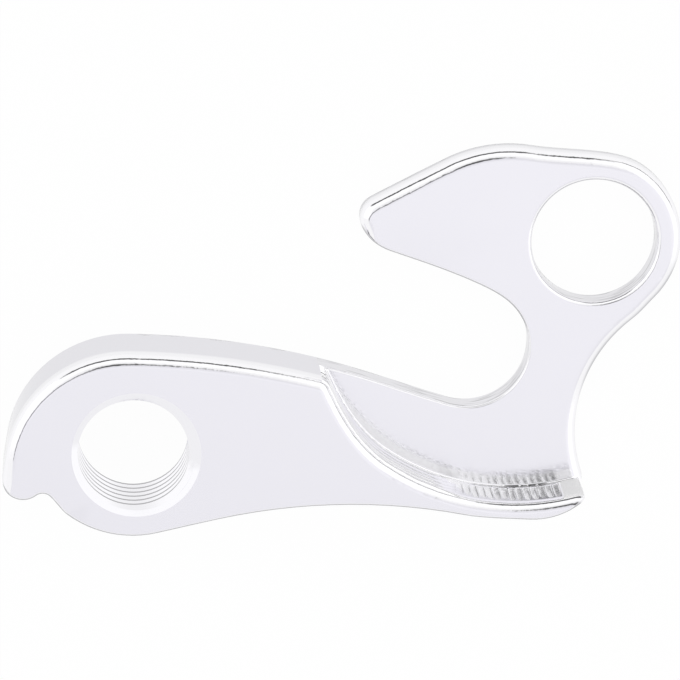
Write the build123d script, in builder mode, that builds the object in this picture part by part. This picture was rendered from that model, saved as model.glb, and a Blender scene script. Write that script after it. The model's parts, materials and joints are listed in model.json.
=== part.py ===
from build123d import *
import os

# Bicycle derailleur hanger, milled from one aluminium blank. Millimetres and degrees.
# The frame bolt's axis meets the flat back face at the origin. +Z points to the stepped face,
# +X away from the derailleur thread, and +Y from the foot to the beak above the axle slot.

# Thickness of the seat plate, and of the lug that stands up beside it
plate_thickness = 2.4
lug_thickness = 6.8

# Frame bolt hole and the wall of the eye round it
bolt_hole_diameter = 10.2
eye_wall = 2.0

# Derailleur bolt: tap hole for a fine thread, countersunk a little off its axis on the stepped face
tap_diameter = 9.0
thread_x = -37.5
thread_y = -16.0
countersink_width = 0.72
countersink_depth = 0.5
countersink_shift = 0.25

# Open slot for the wheel axle
slot_width = 10.1
slot_x = -10.25
slot_y = -8.75
jaw_shift = 0.85
jaw_rise = 0.28

# Outer outline of the seat plate: the hollow neck, set from the eye, and the crown over the slot
neck_radius = 11.85
neck_gap = 0.33
neck_angle = -56.65
crown_radius = 11.25
crown_x = -7.0
crown_y = -3.5

# Beak: its tip, and the chin under it
tip_radius = 1.7
tip_x = -17.25
tip_y = 2.0
chin_radius = 4.5
chin_drop = 0.3

# Shoulder where the slot's lower jaw runs into the top of the lug
shoulder_x = -22.4
shoulder_y = -10.03
shoulder_angle = 165
shoulder_radius = 1.2

# Foot at the low end of the step: how far it drops below the neck's middle and reaches past its waist
foot_radius = 6.0
foot_drop = 6.1
foot_reach = 2.25
toe_radius = 0.5

# Arc of the step that nests round the frame's dropout, the rim that it leaves above the foot,
# and the bend that turns its low end round the toe
seat_radius = 18.35
seat_shift = -1.2
seat_sweep = 50.3
rim_width = 1.45
bend_radius = 1.2

# Lug outline, set from the thread's axis: brow above, keel below, nose and stop notch at its far end
brow_radius = 9.9
brow_shift_x = -0.5
brow_shift_y = -1.65
keel_radius = 8.58
keel_shift_y = 1.65
nose_radius = 1.7
nose_reach = 0.2
nose_drop = 2.0
notch_radius = 0.85

# Long hollow under the lug: its middle and how far it rises above the foot
hollow_radius = 48.0
hollow_x = -20.8
hollow_rise = 1.58

# Edge finish: rounded outer edges and bolt hole rim, broken edges at the slot, the keel and the back,
# and the cove that the cutter's corner leaves at the foot of the step
plate_edge_radius = 0.95
lug_edge_radius = 0.9
slot_edge_size = 0.22
keel_edge_size = 0.25
back_edge_size = 0.2
bolt_rim_radius = 0.4
cove_radius = 0.2

# Stock left round each blank, which a later cut takes off
stock = 6.0

# Sizes that follow from those above
eye_radius = bolt_hole_diameter / 2 + eye_wall
slot_radius = slot_width / 2
jaw = (slot_x + jaw_shift, slot_y + slot_radius + jaw_rise)
tap_radius = tap_diameter / 2
cone_tip_radius = tap_radius - 2 * countersink_shift
cone_height = (tap_radius + countersink_width - cone_tip_radius) * countersink_depth / countersink_width
cone_top = (Align.CENTER, Align.CENTER, Align.MAX)
cone_foot = (Align.CENTER, Align.CENTER, Align.MIN)
neck_center = Vector(1, 0).rotate(Axis.Z, neck_angle) * (eye_radius + neck_radius + neck_gap)
waist_x = neck_center.X - neck_radius
foot_base = neck_center.Y - foot_drop
foot_x = waist_x + foot_reach - foot_radius
foot_y = foot_base + foot_radius
seat_x = foot_x + seat_shift
seat_y = foot_base + rim_width + seat_radius
hollow_y = foot_base + hollow_rise - hollow_radius
brow_x = thread_x + brow_shift_x
brow_y = thread_y + brow_shift_y
nose_x = brow_x - brow_radius - nose_reach + nose_radius
nose_y = thread_y - nose_drop
shoulder = Vector(shoulder_x, shoulder_y)
into_lug = Vector(1, 0).rotate(Axis.Z, shoulder_angle)


def curved(edge):
    """True for the edges that follow the outline, and not the straight sides of the stock."""
    return edge.geom_type != GeomType.LINE


# Low outline, from the nose past the stop notch and along the keel to the toe: what lies below it is cut off
with BuildSketch() as low_cut:
    with BuildLine():
        nose = CenterArc((nose_x, nose_y), nose_radius, 193, 114)
        notch = JernArc(nose @ 1, nose % 1, notch_radius, -80)
        keel = CenterArc((thread_x, thread_y + keel_shift_y), keel_radius, 231, 51)
        hollow = CenterArc((hollow_x, hollow_y), hollow_radius, 100, -22)
        foot = CenterArc((foot_x, foot_y), foot_radius, 266, 48)
        toe = JernArc(foot @ 1, foot % 1, toe_radius, 46)
        Spline(notch @ 1, keel @ 0, tangents=(notch % 1, keel % 0))
        Spline(keel @ 1, hollow @ 0, tangents=(keel % 1, hollow % 0))
        Spline(hollow @ 1, foot @ 0, tangents=(hollow % 1, foot % 0))
        lead_in = Line(nose @ 0 - (nose % 0) * stock / 2, nose @ 0)
        lead_out = Line(toe @ 1, toe @ 1 + (toe % 1) * stock / 2)
        Polyline(
            lead_out @ 1,
            (foot_x + foot_radius + 2 * stock, foot_y),
            (foot_x + foot_radius + 2 * stock, foot_base - 3 * stock),
            (brow_x - brow_radius - stock, foot_base - 3 * stock),
            lead_in @ 0,
        )
    make_face()

# Seat plate: a blank with a web across the slot, its outer edges rounded before the slot is cut
with BuildPart() as plate:
    with BuildSketch():
        with BuildLine():
            neck = CenterArc(neck_center, neck_radius, 212, -84)
            eye = CenterArc((0, 0), eye_radius, -44, 101)
            crown = CenterArc((crown_x, crown_y), crown_radius, 80, 37)
            tip = CenterArc((tip_x, tip_y), tip_radius, 118, 72)
            Spline(neck @ 1, eye @ 0, tangents=(neck % 1, eye % 0))
            Spline(eye @ 1, crown @ 0, tangents=(eye % 1, crown % 0))
            Spline(crown @ 1, tip @ 0, tangents=(crown % 1, tip % 0))
            web = Line(tip @ 1, tip @ 1 + (tip % 1) * stock / 2)
            Polyline(
                web @ 1,
                (shoulder_x - stock / 2, shoulder_y + stock),
                (shoulder_x - stock / 2, shoulder_y - stock / 2),
                (seat_x - seat_radius * 0.8, seat_y - seat_radius * 0.85),
                (foot_x - foot_radius, foot_base + rim_width * 0.6),
                neck @ 0,
            )
        make_face()
    extrude(amount=plate_thickness)
    fillet(plate.edges().filter_by(curved).group_by(Axis.Z)[-1], plate_edge_radius)

    with BuildSketch():
        with BuildLine():
            chin_start = tip @ 1 + (tip % 1) * chin_drop
            chin = JernArc(chin_start, (tip % 1).rotate(Axis.Z, 20), chin_radius, 40)
            slot = CenterArc((slot_x, slot_y), slot_radius, 48, -156)
            Spline(chin @ 1, jaw, slot @ 0, tangents=(chin % 1, slot % 0))
            Spline(slot @ 1, shoulder, tangents=(slot % 1, into_lug))
            lead = Line(chin_start - (chin % 0) * stock, chin_start)
            Polyline(
                shoulder,
                (shoulder_x - stock, shoulder_y - stock / 2),
                (shoulder_x - 2 * stock, shoulder_y),
                (shoulder_x - 2 * stock, tip_y + stock),
                lead @ 0,
            )
        make_face()
    extrude(amount=plate_thickness, mode=Mode.SUBTRACT)
    slot_edges = plate.edges(Select.LAST).filter_by(curved).group_by(Axis.Z)[-1]
    chamfer(slot_edges, slot_edge_size)
    extrude(low_cut.sketch, amount=plate_thickness, mode=Mode.SUBTRACT)
    Hole(bolt_hole_diameter / 2)
    rims = plate.edges(Select.LAST).filter_by(GeomType.CIRCLE).sort_by(Axis.Z)
    fillet(rims[-1], bolt_rim_radius)
    chamfer(rims[0], back_edge_size)

# Lug: a blank that runs past its low edges, rounded along the top and the step, then cut to its keel
with BuildPart() as lug:
    with BuildSketch():
        with BuildLine():
            brow = CenterArc((brow_x, brow_y), brow_radius, 88, 82)
            Spline(shoulder, brow @ 0, tangents=(into_lug, brow % 0))
            corner = JernArc(shoulder, -into_lug, shoulder_radius, -52)
            seat = CenterArc((seat_x, seat_y), seat_radius, 234, seat_sweep)
            bend = JernArc(seat @ 1, seat % 1, bend_radius, -90)
            Spline(corner @ 1, seat @ 0, tangents=(corner % 1, seat % 0))
            flank = Line(brow @ 1, brow @ 1 + (brow % 1) * stock)
            heel = Line(bend @ 1, bend @ 1 + (bend % 1) * stock)
            Polyline(flank @ 1, (thread_x, thread_y - keel_radius - stock), heel @ 1)
        make_face()
    extrude(amount=lug_thickness)
    fillet(lug.edges().filter_by(curved).group_by(Axis.Z)[-1], lug_edge_radius)
    lug_blank = lug.part
    extrude(low_cut.sketch, amount=lug_thickness, mode=Mode.SUBTRACT)
    cut_edges = new_edges(lug_blank, combined=lug.part)
    keel_edges = cut_edges.filter_by_position(Axis.Z, lug_thickness, lug_thickness)
    chamfer(keel_edges, keel_edge_size)
    with Locations((thread_x, thread_y, lug_thickness)):
        Hole(tap_radius)
    with Locations((thread_x + countersink_shift, thread_y, lug_thickness)):
        Cone(cone_tip_radius, tap_radius + countersink_width, cone_height, align=cone_top, mode=Mode.SUBTRACT)
    with Locations((thread_x, thread_y, 0)):
        Cone(tap_radius + countersink_width, cone_tip_radius, cone_height, align=cone_foot, mode=Mode.SUBTRACT)

# The two joined into one solid, with a cove at the foot of the step and the back outline broken
with BuildPart() as hanger:
    add(plate.part)
    add(lug.part)
    joints = new_edges(plate.part, lug.part, combined=hanger.part)
    fillet(joints.filter_by_position(Axis.Z, plate_thickness, plate_thickness), cove_radius)
    back_face = hanger.faces().filter_by(Axis.Z).sort_by(Axis.Z)[0]
    chamfer(back_face.outer_wire().edges(), back_edge_size)

hanger.part.label = "hanger"
os.makedirs("parts", exist_ok=True)
export_step(hanger.part, "parts/hanger.step")
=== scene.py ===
import json
import math

import bmesh
import bpy
from mathutils import Matrix, Vector


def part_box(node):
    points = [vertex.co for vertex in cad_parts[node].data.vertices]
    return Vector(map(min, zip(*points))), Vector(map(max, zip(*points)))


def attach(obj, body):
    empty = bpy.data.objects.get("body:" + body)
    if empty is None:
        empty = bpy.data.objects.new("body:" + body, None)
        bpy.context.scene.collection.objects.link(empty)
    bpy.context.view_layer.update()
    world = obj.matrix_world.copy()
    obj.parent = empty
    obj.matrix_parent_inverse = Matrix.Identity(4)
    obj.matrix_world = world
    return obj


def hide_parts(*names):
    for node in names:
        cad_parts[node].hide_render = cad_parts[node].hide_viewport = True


# Derailleur hanger lying on its flat back on a white table, in metres and in the part's own frame
MM = 0.001

# Thread of the derailleur bolt: a fine right-hand V thread, cut outward from the tap hole
THREAD_PITCH = 1.0 * MM
THREAD_DEPTH = 0.5 * MM
THREAD_ROOT_FLAT = 0.13 * MM
THREAD_FLANK_ANGLE = math.radians(30)
THREAD_INNER_CLEARANCE = 0.18 * MM
THREAD_OVERRUN = 1.45 * MM
THREAD_STEPS_PER_TURN = 96

# Countersink at the mouth of the thread
COUNTERSINK_DEPTH = 0.5 * MM

# Arc of the step wall that nests round the dropout
SEAT_RADIUS = 18.35 * MM
SEAT_X = -6.2 * MM
SEAT_Y = -2.4 * MM

# Chatter flutes that the cutter left in the step wall: a row of upright scallops along that arc
FLUTE_COUNT = 16
FLUTE_FIRST_ANGLE = math.radians(250.2)
FLUTE_LAST_ANGLE = math.radians(281.1)
FLUTE_DEPTH = 0.06 * MM
FLUTE_DEPTH_SPREAD = 0.35
FLUTE_LEAN = 0.03 * MM
FLUTE_CUSP = 0.02 * MM
FLUTE_CROWN = 0.06 * MM
FLUTE_SQUARENESS = 6.0
FLUTE_MIDDLE_Z = 4.2 * MM
FLUTE_HALF_HEIGHT = 1.65 * MM
FLUTE_STEPS = 12
FLUTE_RINGS = 9
FLUTE_SEED = 7

# Bar that is bent into the chatter cutter: from -1 to 1 along each axis before, and its thickness after
UNIT_BAR = (2.0, 2.0, 2.0)
CHATTER_THICKNESS = 0.8 * MM

# Milled step wall: what counts as part of it, and how far its shading leans towards the light at both ends
WALL_FROM_X = -22.3 * MM
WALL_UPRIGHT = 0.5
WALL_LEAN = 0.62

# Matte end of that wall at the toe, a painted highlight: pale paint in place of its reflection
WALL_END_FROM_X = -2.75 * MM
WALL_END_FULL_X = -2.45 * MM

# Lines that the cutter left along the other end of the wall
WALL_LINES_END_X = -10.0 * MM
WALL_LINES_FADE_X = -13.5 * MM
MILL_PITCH = 0.8 * MM
MILL_DEPTH = 0.02 * MM
MILL_WOBBLE = 1.5
MILL_LINE_FROM = 0.55

# Length of one band of the wave texture at scale 1
WAVE_BAND = 2 * math.pi / 20

# Dark line of painted shade in the corner at the foot of the step, under the flutes
CORNER_LINE_FROM_X = -7.6 * MM
CORNER_LINE_TO_X = -3.2 * MM
CORNER_LINE_FADE = 1.0 * MM
CORNER_LINE_INSET = 0.14 * MM
CORNER_LINE_RISE = 0.1 * MM

# Noise that breaks up the dark line: its size, and the levels past which the line shows
CORNER_LINE_BREAK = 0.5 * MM
CORNER_LINE_SHOWN_FROM = 0.42
CORNER_LINE_SHOWN_FULL = 0.48

# Walls cut straight through the plate: the axle slot and the frame bolt hole, with streaks along them
SLOT_REACH = 12.0 * MM
CUT_STREAK = 0.26 * MM
CUT_STREAK_STRETCH = 0.08
CUT_STREAK_FROM = 0.5
CUT_STREAK_FULL = 0.62

# Strip of the floor beside the step that the cutter's corner left uneven, by its distance from the wall
FLOOR_STRIP = 1.8 * MM
FLOOR_STRIP_FADE = 0.9 * MM
FLOOR_GRAIN = 0.35 * MM
FLOOR_GRAIN_DEPTH = 0.02 * MM

# Brighter part of that strip, close to the wall, a painted highlight in place of the wall's reflection in
# it, and matte beside the cutter's lines
STRIP_PALE = 1.15 * MM
STRIP_PALE_FADE = 0.65 * MM
STRIP_METALLIC = 0.8

# Margin at the border of a finish that is picked out by height or distance
FINISH_MARGIN = 0.05 * MM

# Mesh clean-up and shading: small broken edges shade as rounds, except at the countersink and the thread
MERGE_DISTANCE = 0.0005 * MM
SMOOTH_ANGLE = math.radians(50)
THREAD_SMOOTH_ANGLE = math.radians(25)
THREAD_SURROUND = 1.5 * MM
FLAT_ANGLE = math.radians(0.05)

# Clear anodised aluminium, linear colours
SILVER = (0.835, 0.825, 0.88, 1.0)
SILVER_CLOUD = (0.82, 0.811, 0.865, 1.0)
EDGE_SILVER = (0.96, 0.955, 0.975, 1.0)
# Painted shade on the upright walls below the rims, darker on the plate's walls beside the table
SIDE_SHADE_SILVER = (0.81, 0.802, 0.84, 1.0)
PLATE_SIDE_SHADE_SILVER = (0.66, 0.654, 0.685, 1.0)
WALL_SILVER = (0.99, 0.988, 0.995, 1.0)
MILL_LINE_SILVER = (0.88, 0.876, 0.89, 1.0)
# Painted highlight on the floor strip beside the step wall
STRIP_SILVER = (0.975, 0.97, 0.995, 1.0)
MACHINED_SILVER = (0.9, 0.895, 0.925, 1.0)
THREAD_SILVER = (0.9, 0.895, 0.92, 1.0)
# Painted shade on the thread's upright crests
THREAD_CREST_SHADE = (0.4, 0.398, 0.41, 1.0)
# Painted shade on broken edges that face the foot
UNDER_SHADE_SILVER = (0.56, 0.556, 0.575, 1.0)
CUT_SILVER = (0.82, 0.814, 0.84, 1.0)
CUT_STREAK_SILVER = (0.58, 0.576, 0.595, 1.0)
# Painted shade in the corner at the foot of the step
CORNER_SHADE_GREY = (0.1, 0.1, 0.1, 1.0)
GRAZING_TINT = (0.9, 0.9, 0.905, 1.0)

# Roughness of the flat faces, the polished edges and the step wall, and the shine where it isn't matte
ROUGH_LOW = 0.15
ROUGH_HIGH = 0.22
EDGE_ROUGH = 0.07
WALL_ROUGH = 0.1
COAT_SPECULAR = 0.5

# Slopes at which the finish changes: the upright part of the normal, 1 on a flat face and 0 on a wall
POLISH_FROM_SLOPE = 0.9995
POLISH_FULL_SLOPE = 0.97
EDGE_FROM_SLOPE = 0.978
EDGE_FULL_SLOPE = 0.93
SIDE_FROM_SLOPE = 0.45
SIDE_FULL_SLOPE = 0.2
UNDER_FROM_SLOPE = 0.92
UNDER_FULL_SLOPE = 0.55
UPRIGHT_SLOPE = 0.08

# How far a broken edge faces the foot, by the normal's Y, where painted shade darkens it
UNDER_FROM_FACING = -0.15
UNDER_FULL_FACING = -0.4

# Fine grain and faint clouds of the faces, and the slight waviness of the polished rims
NOISE_DETAIL = 2.0
GRAIN_SIZE = 0.12 * MM
GRAIN_DETAIL = 4.0
GRAIN_STRENGTH = 0.08
GRAIN_DEPTH = 0.02 * MM
CLOUD_SIZE = 6.0 * MM
CLOUD_DETAIL = 3.0
POLISH_WAVE = 0.9 * MM
POLISH_WAVE_DEPTH = 0.02 * MM

# Walls of the lug and of the plate: where painted shade greys them below their rims, under a painted
# highlight band of edge colour, and where the plate's start
LUG_SHADE_TOP_Z = 5.1 * MM
PLATE_SHADE_TOP_Z = 0.75 * MM
RIM_FADE = 0.3 * MM
SHOULDER_X = -20.0 * MM

# Camera that took the photograph
CAMERA_PLACE = (-38.350 * MM, 85.805 * MM, 312.324 * MM)
CAMERA_RIGHT = (0.998367, 0.0, 0.0571323)
CAMERA_UP = (0.0165142, 0.957313, -0.288580)
CAMERA_BACK = (-0.0546935, 0.289052, 0.955750)
CAMERA_SENSOR = 36.0
CAMERA_FOCAL_PIXELS = 4000.0
PHOTO_WIDTH = 680.0
NEAREST_VIEW = 10 * MM

# White table, which glows white where the camera or a reflection sees it
TABLE_HALF_WIDTH = 600 * MM
TABLE_WHITE = (0.92, 0.92, 0.92, 1.0)
TABLE_GLOW_SHARE = 0.97
GLOW_WHITE = (1.0, 1.0, 1.0, 1.0)

# Light tent: brighter behind the hanger than in front, with gaps that show as dark lines in the round edges
TENT_FRONT = 0.968
TENT_BACK = 1.087
TENT_SLOPE = (0.2, 1.0, 0.0)
TENT_FRONT_AT = -0.345
TENT_BACK_AT = -0.22

# Gap at the lens, with a soft halo round it
LENS_GAP_TOWARDS = (-0.05, 0.35, 0.935)
LENS_GAP_RADIUS = math.radians(4)
LENS_GAP_FADE = math.radians(8)
LENS_GAP_LEVEL = 0.22
LENS_HALO_FADE = math.radians(29)
LENS_HALO_LEVEL = 0.84

# Dark arm that runs from the lens towards the front left
ARM_FROM = (-0.05, 0.33, 0.943)
ARM_TO = (-0.49, -0.19, 0.85)
ARM_HALF_WIDTH = math.radians(1.5)
ARM_FADE = math.radians(5)
ARM_LEVEL = 0.3

# Low seam behind the hanger, and another behind it on the right
SEAM_TOWARDS = (-0.19, 0.97, 0.13)
SEAM_RADIUS = math.radians(23)
SEAM_FADE = math.radians(12)
SEAM_HEIGHT = 0.14
SEAM_HALF_HEIGHT = 0.1
SEAM_HEIGHT_FADE = 0.07
SEAM_LEVEL = 0.1
SIDE_SEAM_TOWARDS = (0.79, 0.61, 0.06)
SIDE_SEAM_RADIUS = math.radians(24)
SIDE_SEAM_FADE = math.radians(14)
SIDE_SEAM_HEIGHT = 0.05
SIDE_SEAM_HALF_HEIGHT = 0.03
SIDE_SEAM_HEIGHT_FADE = 0.04
SIDE_SEAM_LEVEL = 0.1

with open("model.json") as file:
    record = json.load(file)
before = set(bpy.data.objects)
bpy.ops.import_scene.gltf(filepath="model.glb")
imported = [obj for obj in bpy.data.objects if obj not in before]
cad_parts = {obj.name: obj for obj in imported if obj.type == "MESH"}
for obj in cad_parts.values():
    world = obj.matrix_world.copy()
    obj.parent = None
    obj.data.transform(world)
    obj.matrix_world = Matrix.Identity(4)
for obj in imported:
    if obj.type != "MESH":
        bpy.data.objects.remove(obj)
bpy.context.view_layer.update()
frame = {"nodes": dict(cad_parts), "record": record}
mounts = {mount["name"]: mount for mount in frame["record"]["mounts"]}
bolt_thread = mounts["derailleur_bolt_thread"]
bolt_hole = mounts["frame_bolt_hole"]
seat_floor_z = mounts["dropout_seat"]["pos_m"][2]
tap_radius = bolt_thread["dims"]["r_mm"] * MM
machined_radius = tap_radius + THREAD_SURROUND


def node_tools(tree):
    """Empties a node tree and returns three helpers: to add a node, to feed a socket and to calculate."""
    tree.nodes.clear()

    def add(kind, **settings):
        node = tree.nodes.new(kind)
        for name, value in settings.items():
            setattr(node, name, value)
        return node

    def feed(source, socket):
        if isinstance(source, (int, float, tuple)):
            socket.default_value = source
        else:
            tree.links.new(source, socket)

    def calc(operation, *values):
        node = add("ShaderNodeMath", operation=operation)
        for value, socket in zip(values, node.inputs):
            feed(value, socket)
        return node.outputs["Value"]

    return add, feed, calc


def cutter_tree(name, sizes):
    """A Geometry Nodes tree with one input for each named size, and one for the material."""
    tree = bpy.data.node_groups.new(name, "GeometryNodeTree")
    for label, value in sizes.items():
        kind = "NodeSocketInt" if isinstance(value, int) else "NodeSocketFloat"
        tree.interface.new_socket(label, in_out="INPUT", socket_type=kind)
    tree.interface.new_socket("Material", in_out="INPUT", socket_type="NodeSocketMaterial")
    tree.interface.new_socket("Geometry", in_out="OUTPUT", socket_type="NodeSocketGeometry")
    return tree


def end_tree(add, feed, inputs, geometry):
    """Ends a cutter's tree in plain geometry with its material."""
    plain = add("GeometryNodeRealizeInstances")
    feed(geometry, plain.inputs["Geometry"])
    coated = add("GeometryNodeSetMaterial")
    feed(plain.outputs["Geometry"], coated.inputs["Geometry"])
    feed(inputs["Material"], coated.inputs["Material"])
    feed(coated.outputs["Geometry"], add("NodeGroupOutput").inputs["Geometry"])


def as_mesh(piece):
    """Bakes a piece's modifiers into its mesh."""
    evaluated = piece.evaluated_get(bpy.context.evaluated_depsgraph_get())
    mesh = bpy.data.meshes.new_from_object(evaluated)
    piece.modifiers.clear()
    piece.data = mesh


def cutter(name, tree, sizes, material):
    """Runs a Geometry Nodes tree with its sizes and returns the result as a plain mesh object."""
    piece = bpy.data.objects.new(name, bpy.data.meshes.new(name))
    bpy.context.scene.collection.objects.link(piece)
    modifier = piece.modifiers.new(name, "NODES")
    modifier.node_group = tree
    for item in tree.interface.items_tree:
        if item.in_out == "INPUT":
            modifier[item.identifier] = material if item.name == "Material" else sizes[item.name]
    as_mesh(piece)
    return piece


def thread_tap(material):
    """The tap's cutting edge: a trapezoid swept along a helix through the derailleur bolt hole."""
    lowest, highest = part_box("hanger")
    run = highest[2] - lowest[2] + 2 * THREAD_OVERRUN
    height = THREAD_DEPTH + THREAD_INNER_CLEARANCE
    sizes = {
        "Helix radius": tap_radius + THREAD_DEPTH - height / 2,
        "Turns": run / THREAD_PITCH,
        "Run": run,
        "Groove height": height,
        "Root flat": THREAD_ROOT_FLAT,
        "Mouth": THREAD_ROOT_FLAT + 2 * height * math.tan(THREAD_FLANK_ANGLE),
        "Steps per turn": THREAD_STEPS_PER_TURN,
    }
    tree = cutter_tree("thread_tap", sizes)
    add, feed, _ = node_tools(tree)
    inputs = add("NodeGroupInput").outputs
    helix = add("GeometryNodeCurveSpiral")
    feed(True, helix.inputs["Reverse"])
    feed(inputs["Steps per turn"], helix.inputs["Resolution"])
    feed(inputs["Turns"], helix.inputs["Rotations"])
    feed(inputs["Helix radius"], helix.inputs["Start Radius"])
    feed(inputs["Helix radius"], helix.inputs["End Radius"])
    feed(inputs["Run"], helix.inputs["Height"])
    upright = add("GeometryNodeSetCurveNormal", mode="Z_UP")
    feed(helix.outputs["Curve"], upright.inputs["Curve"])
    tooth = add("GeometryNodeCurvePrimitiveQuadrilateral", mode="TRAPEZOID")
    feed(0.0, tooth.inputs["Offset"])
    feed(inputs["Mouth"], tooth.inputs["Bottom Width"])
    feed(inputs["Root flat"], tooth.inputs["Top Width"])
    feed(inputs["Groove height"], tooth.inputs["Height"])
    turned = add("GeometryNodeTransform")
    feed((0.0, 0.0, -math.pi / 2), turned.inputs["Rotation"])
    feed(tooth.outputs["Curve"], turned.inputs["Geometry"])
    sweep = add("GeometryNodeCurveToMesh")
    feed(True, sweep.inputs["Fill Caps"])
    feed(upright.outputs["Curve"], sweep.inputs["Curve"])
    feed(turned.outputs["Geometry"], sweep.inputs["Profile Curve"])
    end_tree(add, feed, inputs, sweep.outputs["Mesh"])
    tap = cutter("thread_tap", tree, sizes, material)
    x, y, _ = bolt_thread["pos_m"]
    tap.data.transform(Matrix.Translation((x, y, lowest[2] - THREAD_OVERRUN)))
    return tap


def chatter_cutter(material):
    """The cutter's chatter: a curved bar whose outer side is a row of scallops that bite into the step."""
    sizes = {
        "Arc radius": SEAT_RADIUS,
        "First angle": FLUTE_FIRST_ANGLE,
        "Sweep": FLUTE_LAST_ANGLE - FLUTE_FIRST_ANGLE,
        "Count": FLUTE_COUNT,
        "Steps": FLUTE_COUNT * FLUTE_STEPS + 1,
        "Rings": FLUTE_RINGS,
        "Depth": FLUTE_DEPTH,
        "Depth spread": FLUTE_DEPTH_SPREAD,
        "Lean": FLUTE_LEAN,
        "Cusp": FLUTE_CUSP,
        "Crown": FLUTE_CROWN,
        "Squareness": FLUTE_SQUARENESS,
        "Half height": FLUTE_HALF_HEIGHT,
        "Thickness": CHATTER_THICKNESS,
        "Seed": FLUTE_SEED,
    }
    tree = cutter_tree("chatter_cutter", sizes)
    add, feed, calc = node_tools(tree)
    inputs = add("NodeGroupInput").outputs

    # The straight bar: its outer side at +X, its length along Y and its height along Z
    bar = add("GeometryNodeMeshCube")
    feed(UNIT_BAR, bar.inputs["Size"])
    feed(2, bar.inputs["Vertices X"])
    feed(inputs["Steps"], bar.inputs["Vertices Y"])
    feed(inputs["Rings"], bar.inputs["Vertices Z"])
    place = add("ShaderNodeSeparateXYZ")
    feed(add("GeometryNodeInputPosition").outputs["Position"], place.inputs["Vector"])
    outside = calc("GREATER_THAN", place.outputs["X"], 0.0)
    along = calc("MULTIPLY_ADD", place.outputs["Y"], 0.5, 0.5)
    up = place.outputs["Z"]

    # Which flute a point belongs to, and how far across that flute it lies, from -1 to 1
    turns = calc("MULTIPLY", along, inputs["Count"])
    across = calc("MULTIPLY_ADD", calc("FRACT", turns), 2.0, -1.0)
    number = calc("FLOOR", turns)

    # A number from -1 to 1 for each flute, at the node's sockets for plain numbers
    def uneven(offset):
        node = add("FunctionNodeRandomValue", data_type="FLOAT")
        feed(-1.0, node.inputs[2])
        feed(1.0, node.inputs[3])
        feed(number, node.inputs["ID"])
        feed(calc("ADD", inputs["Seed"], offset), node.inputs["Seed"])
        return node.outputs[1]

    # How deep the scallop bites there
    across_squared = calc("MULTIPLY", across, across)
    hollow = calc("SUBTRACT", 1.0, calc("POWER", calc("ABSOLUTE", across), inputs["Squareness"]))
    spread = calc("MULTIPLY", uneven(0), inputs["Depth spread"])
    depth = calc("MULTIPLY_ADD", spread, inputs["Depth"], inputs["Depth"])
    lean = calc("MULTIPLY", calc("MULTIPLY", uneven(1), inputs["Lean"]), across)
    lean = calc("MULTIPLY", lean, calc("SUBTRACT", 1.0, across_squared))
    bite = calc("ADD", calc("MULTIPLY", depth, hollow), lean)
    bite = calc("SUBTRACT", bite, calc("MULTIPLY", inputs["Cusp"], across_squared))
    bite = calc("SUBTRACT", bite, calc("MULTIPLY", inputs["Crown"], calc("MULTIPLY", up, up)))

    # The bar bent round the step's arc
    outer = calc("ADD", inputs["Arc radius"], bite)
    inner = calc("SUBTRACT", inputs["Arc radius"], inputs["Thickness"])
    radius = calc("ADD", inner, calc("MULTIPLY", outside, calc("SUBTRACT", outer, inner)))
    angle = calc("ADD", inputs["First angle"], calc("MULTIPLY", along, inputs["Sweep"]))
    spot = add("ShaderNodeCombineXYZ")
    feed(calc("MULTIPLY", radius, calc("COSINE", angle)), spot.inputs["X"])
    feed(calc("MULTIPLY", radius, calc("SINE", angle)), spot.inputs["Y"])
    feed(calc("MULTIPLY", up, inputs["Half height"]), spot.inputs["Z"])
    bent = add("GeometryNodeSetPosition")
    feed(bar.outputs["Mesh"], bent.inputs["Geometry"])
    feed(spot.outputs["Vector"], bent.inputs["Position"])
    end_tree(add, feed, inputs, bent.outputs["Geometry"])
    teeth = cutter("chatter_cutter", tree, sizes, material)
    teeth.data.transform(Matrix.Translation((SEAT_X, SEAT_Y, FLUTE_MIDDLE_Z)))
    return teeth


def merged_copy(name, node):
    """A copy of a CAD node's mesh with its loose triangles joined and its flat faces whole."""
    work = bmesh.new()
    work.from_mesh(frame["nodes"][node].data)
    bmesh.ops.remove_doubles(work, verts=work.verts, dist=MERGE_DISTANCE)
    bmesh.ops.dissolve_limit(work, angle_limit=FLAT_ANGLE, verts=work.verts, edges=work.edges)
    mesh = bpy.data.meshes.new(name)
    work.to_mesh(mesh)
    work.free()
    mesh.attributes.remove(mesh.attributes["custom_normal"])
    piece = bpy.data.objects.new(name, mesh)
    bpy.context.scene.collection.objects.link(piece)
    return piece


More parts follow.
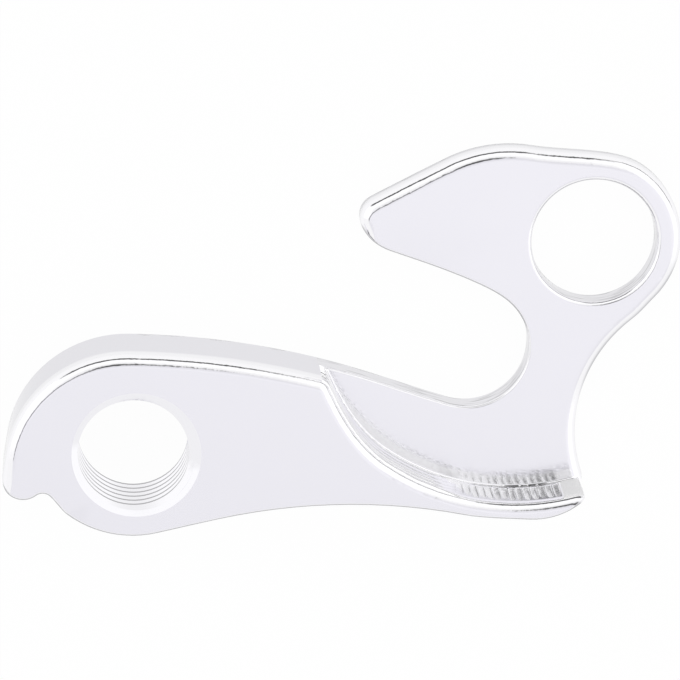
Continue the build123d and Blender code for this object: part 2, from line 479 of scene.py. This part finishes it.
def aluminium_finish():
    """Polished and clear anodised aluminium, with the marks that the cutters left on each kind of face, and
    painted shade and highlights on its walls, edges, thread and step.
    """
    material = bpy.data.materials.new("anodised_aluminium")
    material.use_nodes = True
    add, feed, calc = node_tools(material.node_tree)
    coordinates = add("ShaderNodeTexCoord")
    place = coordinates.outputs["Object"]

    def between(value, start, end):
        ramp = add("ShaderNodeMapRange", interpolation_type="SMOOTHSTEP")
        feed(start, ramp.inputs["From Min"])
        feed(end, ramp.inputs["From Max"])
        feed(value, ramp.inputs["Value"])
        return ramp.outputs["Result"]

    def blend(kind, first, second, factor):
        mix = add("ShaderNodeMix", data_type=kind)
        for name, value in (("A", first), ("B", second), ("Factor", factor)):
            feed(value, next(s for s in mix.inputs if s.name == name and s.enabled))
        return next(s for s in mix.outputs if s.enabled)

    def product(first, *others):
        for other in others:
            first = calc("MULTIPLY", first, other)
        return first

    def from_axis(x, y):
        level = add("ShaderNodeVectorMath", operation="MULTIPLY")
        feed(place, level.inputs[0])
        feed((1.0, 1.0, 0.0), level.inputs[1])
        apart = add("ShaderNodeVectorMath", operation="DISTANCE")
        feed(level.outputs["Vector"], apart.inputs[0])
        feed((x, y, 0.0), apart.inputs[1])
        return apart.outputs["Value"]

    def marked(name):
        return add("ShaderNodeAttribute", attribute_name=name).outputs["Fac"]

    def noise(size, detail=NOISE_DETAIL, vector=place):
        texture = add("ShaderNodeTexNoise")
        feed(1.0 / size, texture.inputs["Scale"])
        feed(detail, texture.inputs["Detail"])
        feed(vector, texture.inputs["Vector"])
        return texture.outputs["Fac"]

    def bump(height, strength, depth, invert=False):
        node = add("ShaderNodeBump", invert=invert)
        feed(height, node.inputs["Height"])
        feed(strength, node.inputs["Strength"])
        feed(depth, node.inputs["Distance"])
        return node

    # Where a point lies and how steep its face is
    where = add("ShaderNodeSeparateXYZ")
    feed(place, where.inputs["Vector"])
    x, z = where.outputs["X"], where.outputs["Z"]
    from_seat = from_axis(SEAT_X, SEAT_Y)
    from_thread = from_axis(*bolt_thread["pos_m"][:2])
    facing = add("ShaderNodeSeparateXYZ")
    feed(coordinates.outputs["Normal"], facing.inputs["Vector"])
    slope = calc("ABSOLUTE", facing.outputs["Z"])
    flat = between(slope, POLISH_FULL_SLOPE, POLISH_FROM_SLOPE)
    face = between(slope, EDGE_FULL_SLOPE, EDGE_FROM_SLOPE)
    side = between(slope, SIDE_FROM_SLOPE, SIDE_FULL_SLOPE)

    # The step wall, and the strip of floor beside it, with painted highlights on the strip and on the
    # wall's end at the toe
    wall = marked("step_wall")
    at_lines = between(x, WALL_LINES_END_X, WALL_LINES_FADE_X)
    lined = product(wall, at_lines)
    pale_wall_end = product(wall, between(x, WALL_END_FROM_X, WALL_END_FULL_X))
    floor_top = seat_floor_z + FINISH_MARGIN
    low = between(z, floor_top + FINISH_MARGIN, floor_top)
    beside = between(from_seat, SEAT_RADIUS - FLOOR_STRIP, SEAT_RADIUS - FLOOR_STRIP_FADE)
    strip = product(low, beside, flat)
    close = between(from_seat, SEAT_RADIUS - STRIP_PALE, SEAT_RADIUS - STRIP_PALE_FADE)
    painted_pale_strip = product(low, close, flat)
    matte = calc("ADD", pale_wall_end, product(painted_pale_strip, at_lines))

    # The painted dark line of shade in the corner at the foot of the step
    inset = SEAT_RADIUS - CORNER_LINE_INSET
    outset = SEAT_RADIUS + FINISH_MARGIN
    line_top = seat_floor_z + CORNER_LINE_RISE
    corner = product(
        between(x, CORNER_LINE_FROM_X, CORNER_LINE_FROM_X + CORNER_LINE_FADE),
        between(x, CORNER_LINE_TO_X, CORNER_LINE_TO_X - CORNER_LINE_FADE),
        between(noise(CORNER_LINE_BREAK), CORNER_LINE_SHOWN_FROM, CORNER_LINE_SHOWN_FULL),
        between(from_seat, inset, inset + FINISH_MARGIN),
        between(from_seat, outset + FINISH_MARGIN, outset),
        between(z, line_top + FINISH_MARGIN, line_top),
    )

    # The countersink and the thread, the painted shade on broken edges that face the foot, and the painted
    # shade on the walls below the rims
    machined = between(from_thread, machined_radius, machined_radius - FINISH_MARGIN)
    bored_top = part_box("hanger")[1][2] - COUNTERSINK_DEPTH
    bored = between(z, bored_top, bored_top - FINISH_MARGIN)
    under_shade = product(
        between(facing.outputs["Y"], UNDER_FROM_FACING, UNDER_FULL_FACING),
        between(slope, UNDER_FROM_SLOPE, UNDER_FULL_SLOPE),
        marked("tilted"),
    )
    on_plate = product(
        between(from_seat, SEAT_RADIUS + RIM_FADE, SEAT_RADIUS - RIM_FADE),
        between(x, SHOULDER_X - RIM_FADE, SHOULDER_X),
    )
    # Painted shade greys the walls below this height, and the white edge colour above it is a painted
    # highlight
    shade_top_z = blend("FLOAT", LUG_SHADE_TOP_Z, PLATE_SHADE_TOP_Z, on_plate)
    shaded_low_side = product(side, between(calc("SUBTRACT", shade_top_z, z), -RIM_FADE, RIM_FADE))

    # The cutter's lines along the step wall, and the streaks along the cut walls
    lines = add("ShaderNodeTexWave", wave_type="BANDS", bands_direction="Z", wave_profile="SIN")
    feed(place, lines.inputs["Vector"])
    feed(WAVE_BAND / MILL_PITCH, lines.inputs["Scale"])
    feed(MILL_WOBBLE, lines.inputs["Distortion"])
    line = product(between(lines.outputs["Fac"], MILL_LINE_FROM, 1.0), lined)
    along = add("ShaderNodeMapping")
    feed(place, along.inputs["Vector"])
    feed((CUT_STREAK_STRETCH, CUT_STREAK_STRETCH, 1.0), along.inputs["Scale"])
    streaks = noise(CUT_STREAK, vector=along.outputs["Vector"])
    streak = between(streaks, CUT_STREAK_FROM, CUT_STREAK_FULL)

    # Colours
    face_colour = blend("RGBA", SILVER, SILVER_CLOUD, noise(CLOUD_SIZE, CLOUD_DETAIL))
    # Painted highlight on the floor strip beside the step wall
    flat_colour = blend("RGBA", face_colour, STRIP_SILVER, painted_pale_strip)
    # Painted shade on the walls, darker on the plate's walls
    side_shade_colour = blend("RGBA", SIDE_SHADE_SILVER, PLATE_SIDE_SHADE_SILVER, on_plate)
    edge_colour = blend("RGBA", EDGE_SILVER, side_shade_colour, shaded_low_side)
    # Painted shade on broken edges that face the foot
    edge_colour = blend("RGBA", edge_colour, UNDER_SHADE_SILVER, under_shade)
    colour = blend("RGBA", edge_colour, flat_colour, face)
    # Painted shade on the upright crests of the thread
    thread_colour = blend("RGBA", THREAD_SILVER, THREAD_CREST_SHADE, side)
    machined_colour = blend("RGBA", MACHINED_SILVER, thread_colour, bored)
    machined_colour = blend("RGBA", machined_colour, face_colour, face)
    colour = blend("RGBA", colour, machined_colour, machined)
    wall_colour = blend("RGBA", WALL_SILVER, MILL_LINE_SILVER, line)
    colour = blend("RGBA", colour, wall_colour, wall)
    cut_colour = blend("RGBA", CUT_SILVER, CUT_STREAK_SILVER, streak)
    colour = blend("RGBA", colour, cut_colour, marked("cut_wall"))
    # Painted shade line in the corner at the foot of the step
    colour = blend("RGBA", colour, CORNER_SHADE_GREY, corner)

    # Roughness and shine
    grain = noise(GRAIN_SIZE, GRAIN_DETAIL)
    rough = blend("FLOAT", ROUGH_LOW, ROUGH_HIGH, grain)
    polish = blend("FLOAT", EDGE_ROUGH, rough, flat)
    polish = blend("FLOAT", polish, WALL_ROUGH, wall)
    metal = blend("FLOAT", 1.0, STRIP_METALLIC, painted_pale_strip)
    # Matte where highlights are painted on the strip and the wall's end
    metal = blend("FLOAT", metal, 0.0, matte)
    specular = blend("FLOAT", COAT_SPECULAR, 0.0, matte)

    # Relief, each layer on the one before
    waved = product(
        between(from_thread, machined_radius - FINISH_MARGIN, machined_radius),
        between(slope, POLISH_FROM_SLOPE, POLISH_FULL_SLOPE),
        between(slope, UPRIGHT_SLOPE, SIDE_FULL_SLOPE),
    )
    layers = (
        bump(grain, GRAIN_STRENGTH, GRAIN_DEPTH),
        bump(noise(POLISH_WAVE), waved, POLISH_WAVE_DEPTH),
        bump(lines.outputs["Fac"], lined, MILL_DEPTH),
        bump(z, calc("ADD", lined, pale_wall_end), WALL_LEAN, invert=True),
        bump(noise(FLOOR_GRAIN), strip, FLOOR_GRAIN_DEPTH),
    )
    for lower, upper in zip(layers, layers[1:]):
        feed(lower.outputs["Normal"], upper.inputs["Normal"])

    surface = add("ShaderNodeBsdfPrincipled")
    feed(colour, surface.inputs["Base Color"])
    feed(metal, surface.inputs["Metallic"])
    feed(polish, surface.inputs["Roughness"])
    feed(specular, surface.inputs["Specular IOR Level"])
    feed(GRAZING_TINT, surface.inputs["Specular Tint"])
    feed(layers[-1].outputs["Normal"], surface.inputs["Normal"])
    feed(surface.outputs["BSDF"], add("ShaderNodeOutputMaterial").inputs["Surface"])
    return material


def stands_facing(face, middle):
    """True for a steep face that looks towards a middle in the plan."""
    return abs(face.normal.z) < WALL_UPRIGHT and face.normal.xy.dot(middle - face.center.xy) > 0


def on_step_wall(face):
    """True for the faces that stand on the step's curve, for the milled finish."""
    on_step = face.center.z > seat_floor_z and face.center.x > WALL_FROM_X
    return on_step and stands_facing(face, Vector((SEAT_X, SEAT_Y)))


def on_cut_wall(face):
    """True for the steep faces in the frame bolt hole and the axle slot, for the streaked finish."""
    holes = (
        (Vector(bolt_hole["pos_m"][:2]), bolt_hole["dims"]["r_mm"] * MM + FINISH_MARGIN),
        (Vector(mounts["axle_slot"]["pos_m"][:2]), SLOT_REACH),
    )
    near = [middle for middle, reach in holes if (middle - face.center.xy).length < reach]
    return face.center.z < seat_floor_z and any(stands_facing(face, middle) for middle in near)


def is_tilted(face):
    """True for the faces that aren't upright, for the painted shade on broken edges."""
    return abs(face.normal.z) > UPRIGHT_SLOPE


def mark_faces(mesh, name, chosen):
    """Marks the corners of the chosen faces in an attribute that the finish reads."""
    marks = mesh.attributes.new(name, "FLOAT", "CORNER")
    for face in mesh.polygons:
        mark = 1.0 if chosen(face) else 0.0
        for corner in face.loop_indices:
            marks.data[corner].value = mark


def crease_edges(mesh):
    """Marks the sharp edges: where a cut meets the rest, and where two faces turn by more than a limit."""
    thread_middle = Vector(bolt_thread["pos_m"][:2])
    work = bmesh.new()
    work.from_mesh(mesh)
    for edge in work.edges:
        first, second = edge.link_faces
        middle = (edge.verts[0].co + edge.verts[1].co) / 2
        at_thread = (middle.xy - thread_middle).length < machined_radius
        limit = THREAD_SMOOTH_ANGLE if at_thread else SMOOTH_ANGLE
        same_cut = first.material_index == second.material_index
        edge.smooth = same_cut and edge.calc_face_angle() < limit
    for face in work.faces:
        face.smooth = True
        face.material_index = 0
    work.to_mesh(mesh)
    work.free()


def hanger_body(material):
    """The hanger with its thread and flutes cut in."""
    body = merged_copy("hanger_body", "hanger")
    body.data.materials.append(material)
    cut_face = bpy.data.materials.new("cut_face")
    tools = [thread_tap(cut_face), chatter_cutter(cut_face)]
    for tool in tools:
        cut = body.modifiers.new(tool.name, "BOOLEAN")
        cut.operation = "DIFFERENCE"
        cut.solver = "EXACT"
        cut.material_mode = "TRANSFER"
        cut.object = tool
    as_mesh(body)
    for tool in tools:
        bpy.data.objects.remove(tool)
    crease_edges(body.data)
    body.data.materials.clear()
    body.data.materials.append(material)
    bpy.data.materials.remove(cut_face)
    mark_faces(body.data, "step_wall", on_step_wall)
    mark_faces(body.data, "cut_wall", on_cut_wall)
    mark_faces(body.data, "tilted", is_tilted)
    weighted = body.modifiers.new("flat_faces", "WEIGHTED_NORMAL")
    weighted.mode = "FACE_AREA"
    weighted.keep_sharp = True
    as_mesh(body)
    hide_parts("hanger")
    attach(body, "root")


def white_table():
    """The pale table top that the hanger lies on."""
    signs = [(-1, -1), (1, -1), (1, 1), (-1, 1)]
    corners = [(x * TABLE_HALF_WIDTH, y * TABLE_HALF_WIDTH, 0.0) for x, y in signs]
    mesh = bpy.data.meshes.new("table")
    mesh.from_pydata(corners, [], [(0, 1, 2, 3)])
    table = bpy.data.objects.new("table", mesh)
    bpy.context.scene.collection.objects.link(table)
    material = bpy.data.materials.new("white_table")
    material.use_nodes = True
    add, feed, calc = node_tools(material.node_tree)
    paint = add("ShaderNodeBsdfDiffuse")
    feed(TABLE_WHITE, paint.inputs["Color"])
    glow = add("ShaderNodeEmission")
    feed(GLOW_WHITE, glow.inputs["Color"])
    ray = add("ShaderNodeLightPath").outputs
    seen = calc("MAXIMUM", ray["Is Camera Ray"], ray["Is Glossy Ray"])
    seen = calc("MAXIMUM", seen, ray["Is Transmission Ray"])
    both = add("ShaderNodeMixShader")
    feed(calc("MULTIPLY", seen, TABLE_GLOW_SHARE), both.inputs["Fac"])
    feed(paint.outputs["BSDF"], both.inputs[1])
    feed(glow.outputs["Emission"], both.inputs[2])
    feed(both.outputs["Shader"], add("ShaderNodeOutputMaterial").inputs["Surface"])
    mesh.materials.append(material)


def photo_camera():
    """The camera, at the place and angle that the photograph was taken from."""
    camera = bpy.data.objects.new("camera", bpy.data.cameras.new("camera"))
    bpy.context.scene.collection.objects.link(camera)
    turn = Matrix((CAMERA_RIGHT, CAMERA_UP, CAMERA_BACK)).transposed()
    camera.matrix_world = Matrix.Translation(CAMERA_PLACE) @ turn.to_4x4()
    camera.data.sensor_width = CAMERA_SENSOR
    camera.data.lens = CAMERA_SENSOR * CAMERA_FOCAL_PIXELS / PHOTO_WIDTH
    camera.data.clip_start = NEAREST_VIEW
    bpy.context.scene.camera = camera


def light_tent():
    """Soft white light from all round, with a gap at the lens, an arm beside it and two low seams."""
    world = bpy.data.worlds.new("light_tent")
    bpy.context.scene.world = world
    world.use_nodes = True
    add, feed, calc = node_tools(world.node_tree)
    towards = add("ShaderNodeTexCoord").outputs["Generated"]
    split = add("ShaderNodeSeparateXYZ")
    feed(towards, split.inputs["Vector"])
    height = split.outputs["Z"]

    def fade(value, start, end, low, high, shape="SMOOTHSTEP"):
        ramp = add("ShaderNodeMapRange", interpolation_type=shape)
        feed(value, ramp.inputs["Value"])
        for name, amount in (("From Min", start), ("From Max", end), ("To Min", low), ("To Max", high)):
            feed(amount, ramp.inputs[name])
        return ramp.outputs["Result"]

    def nearness(direction):
        dot = add("ShaderNodeVectorMath", operation="DOT_PRODUCT")
        feed(towards, dot.inputs[0])
        feed(tuple(Vector(direction).normalized()), dot.inputs[1])
        return dot.outputs["Value"]

    def band(direction, reach, reach_fade, across, offset, half_width, width_fade, darkest):
        near = fade(nearness(direction), math.cos(reach + reach_fade), math.cos(reach), 0.0, 1.0 - darkest)
        apart = calc("ABSOLUTE", calc("SUBTRACT", across, offset))
        inside = fade(apart, half_width, half_width + width_fade, 1.0, 0.0)
        return calc("SUBTRACT", 1.0, calc("MULTIPLY", near, inside))

    to_lens = nearness(LENS_GAP_TOWARDS)
    lens_edge = math.cos(LENS_GAP_RADIUS)
    lens_out = math.cos(LENS_GAP_RADIUS + LENS_GAP_FADE)
    halo_out = math.cos(LENS_GAP_RADIUS + LENS_HALO_FADE)
    lens = fade(to_lens, lens_out, lens_edge, 1.0, LENS_GAP_LEVEL)
    halo = fade(to_lens, halo_out, lens_edge, 1.0, LENS_HALO_LEVEL)
    start, end = Vector(ARM_FROM), Vector(ARM_TO)
    arm = band(
        start.normalized() + end.normalized(), start.angle(end) / 2, ARM_FADE,
        nearness(start.cross(end)), 0.0, ARM_HALF_WIDTH, ARM_FADE, ARM_LEVEL,
    )
    seam = band(
        SEAM_TOWARDS, SEAM_RADIUS, SEAM_FADE,
        height, SEAM_HEIGHT, SEAM_HALF_HEIGHT, SEAM_HEIGHT_FADE, SEAM_LEVEL,
    )
    side_seam = band(
        SIDE_SEAM_TOWARDS, SIDE_SEAM_RADIUS, SIDE_SEAM_FADE,
        height, SIDE_SEAM_HEIGHT, SIDE_SEAM_HALF_HEIGHT, SIDE_SEAM_HEIGHT_FADE, SIDE_SEAM_LEVEL,
    )
    level = fade(nearness(TENT_SLOPE), TENT_FRONT_AT, TENT_BACK_AT, TENT_FRONT, TENT_BACK, "LINEAR")
    for gap in (lens, halo, arm, seam, side_seam):
        level = calc("MULTIPLY", level, gap)
    glow = add("ShaderNodeBackground")
    feed(GLOW_WHITE, glow.inputs["Color"])
    feed(level, glow.inputs["Strength"])
    feed(glow.outputs["Background"], add("ShaderNodeOutputWorld").inputs["Surface"])


hanger_body(aluminium_finish())
white_table()
photo_camera()
light_tent()
bpy.context.scene.view_settings.view_transform = "Standard"
